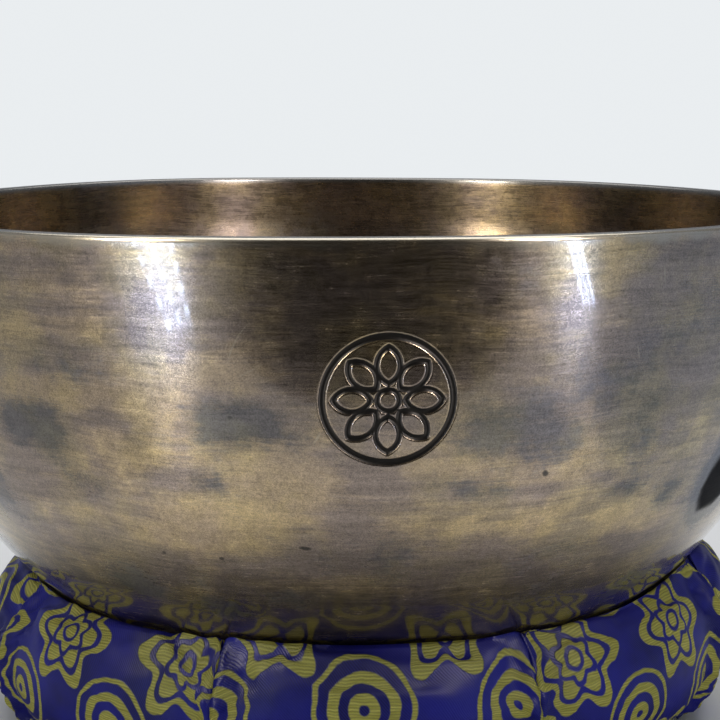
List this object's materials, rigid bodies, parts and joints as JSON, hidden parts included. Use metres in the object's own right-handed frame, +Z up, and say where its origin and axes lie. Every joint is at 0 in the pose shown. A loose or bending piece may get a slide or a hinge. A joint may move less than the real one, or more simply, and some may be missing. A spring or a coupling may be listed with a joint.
{
  "type": "singing bowl",
  "caption": "Hand-hammered bronze singing bowl with an engraved rosette, resting on a stuffed ring cushion covered in brocade gores.",
  "frame": {"origin": "on the bowl's axis, on the surface that the cushion lies on", "axes": "+Z up along the bowl's axis, towards its mouth; the engraved roundel faces -Y"},
  "size_m": [0.2298, 0.2298, 0.1269],
  "materials": {
    "bronze": "hand-hammered and brushed, with a dark patina in the hammer marks",
    "brocade": "royal-blue satin brocade with yellow-gold woven flowers",
    "stuffing": "packed cotton wadding",
    "thread": "twisted cotton thread"
  },
  "bodies": {
    "cushion": {"cover_gore_1": "brocade", "cover_gore_2": "brocade", "cover_gore_3": "brocade", "cover_gore_4": "brocade", "cover_gore_5": "brocade", "cover_gore_6": "brocade", "cover_gore_7": "brocade", "cover_gore_8": "brocade", "stuffing_ring": "stuffing", "closing_stitches": "thread"},
    "bowl": {"bowl": "bronze"}
  },
  "joints": [
    {"name": "bowl_lift", "type": "slide", "parent": "cushion", "child": "bowl", "axis": [0, 0, 1], "range_m": [0, 0.12]}
  ]
}
